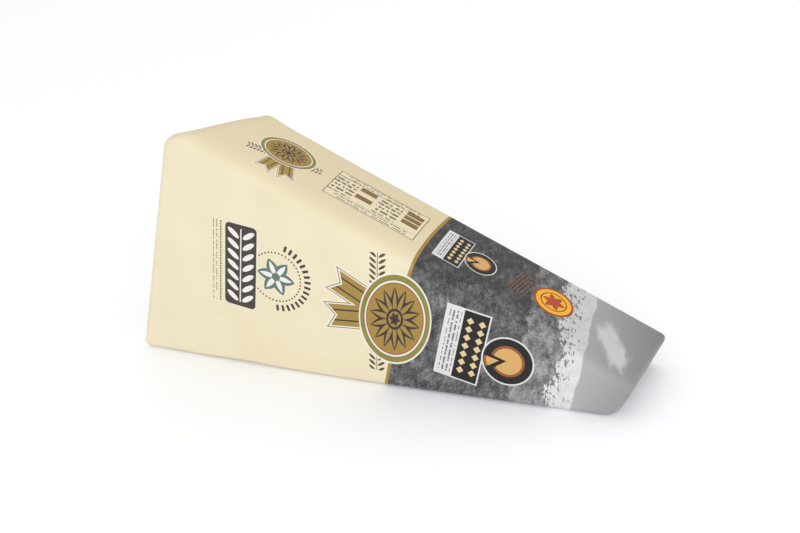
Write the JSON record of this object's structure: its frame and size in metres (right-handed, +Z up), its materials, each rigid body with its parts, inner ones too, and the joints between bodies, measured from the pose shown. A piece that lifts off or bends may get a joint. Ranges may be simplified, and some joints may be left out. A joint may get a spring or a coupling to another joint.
{
  "type": "wrapped parmesan wedge",
  "caption": "Wedge of hard cheese in a shut printed paper wrapper, lying on its cut side: slanted rind end, blunt tip, soft rounded folds.",
  "frame": {"origin": "centre of the bounding box's base, on the surface that the pack lies on", "axes": "+X along the pack from the rind end to the blunt tip, +Y from the front face to the back face, +Z up"},
  "size_m": [0.1802, 0.039, 0.0838],
  "materials": {
    "wrapper": "satin printed paper, cream towards the rind end and dark grey towards the tip"
  },
  "bodies": {
    "root": {"wrapped_wedge": "wrapper"}
  },
  "joints": []
}
